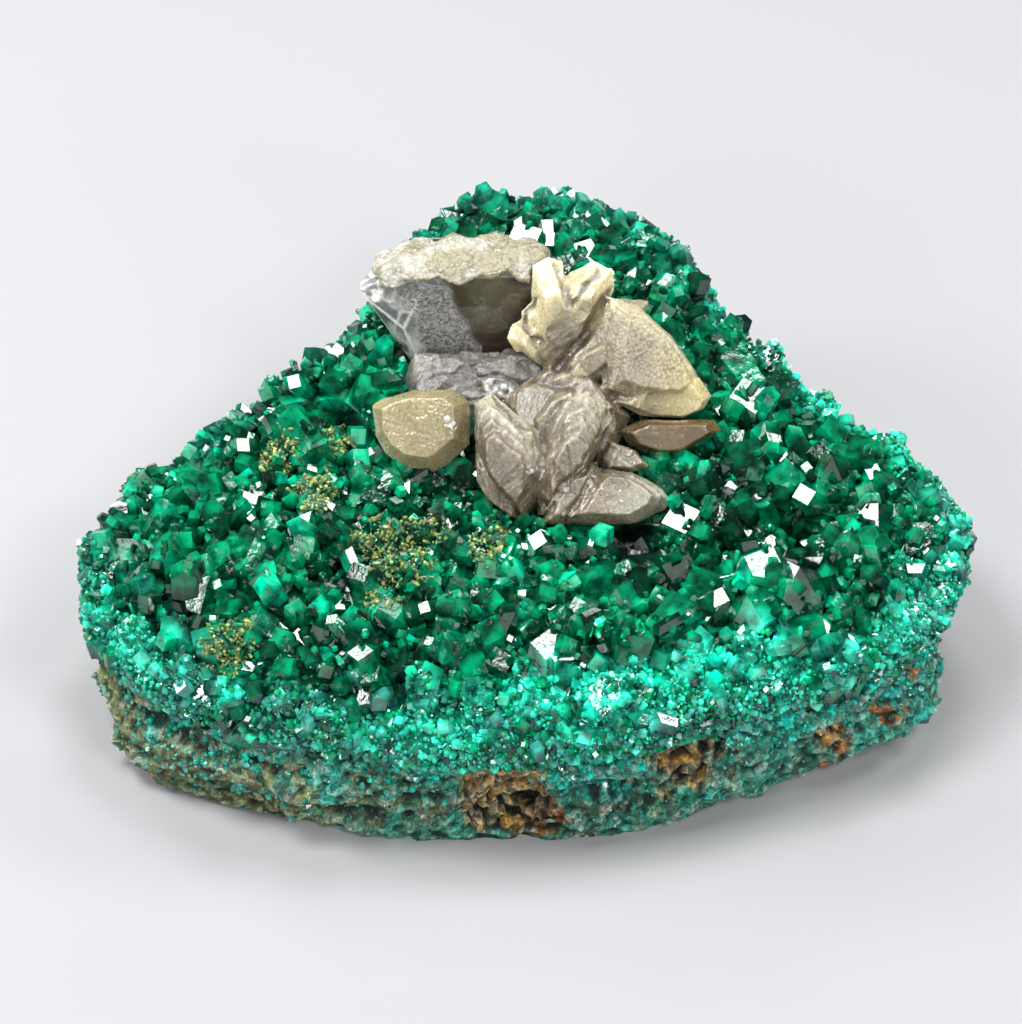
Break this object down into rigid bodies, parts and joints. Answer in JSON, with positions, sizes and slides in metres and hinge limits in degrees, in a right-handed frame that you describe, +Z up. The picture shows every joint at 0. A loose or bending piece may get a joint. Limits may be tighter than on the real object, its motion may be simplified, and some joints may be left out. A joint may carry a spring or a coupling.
{
  "type": "cerussite on dioptase mineral specimen",
  "caption": "Hand-sized plate of blue-green rock crusted with emerald dioptase crystals, carrying a fan of tan cerussite blades beside a smoky, white-capped crystal.",
  "frame": {"origin": "centre of the bounding box's bottom face, on the flat underside", "axes": "+Z up away from the flat underside, the broad rounded edge faces -Y, the narrow corner points to +Y, +X along the broad edge"},
  "size_m": [0.0922, 0.0778, 0.0369],
  "materials": {
    "rock": "rough, copper-stained",
    "dioptase": "glassy crystal faces",
    "tan_cerussite": "waxy, striated, slightly see-through",
    "smoky_cerussite": "clear smoky with one frosted face",
    "white_crust": "matte, sugary",
    "grey_cerussite": "satin, stippled",
    "yellow_cerussite": "waxy, slightly see-through"
  },
  "bodies": {
    "root": {"matrix": "rock", "dioptase_crust": "dioptase", "cerussite_blade_cluster": "tan_cerussite", "cerussite_smoky_crystal": "smoky_cerussite", "white_crust": "white_crust", "cerussite_grey_crystal": "grey_cerussite", "cerussite_left_lens": "yellow_cerussite", "cerussite_right_lens": "yellow_cerussite"}
  },
  "joints": []
}
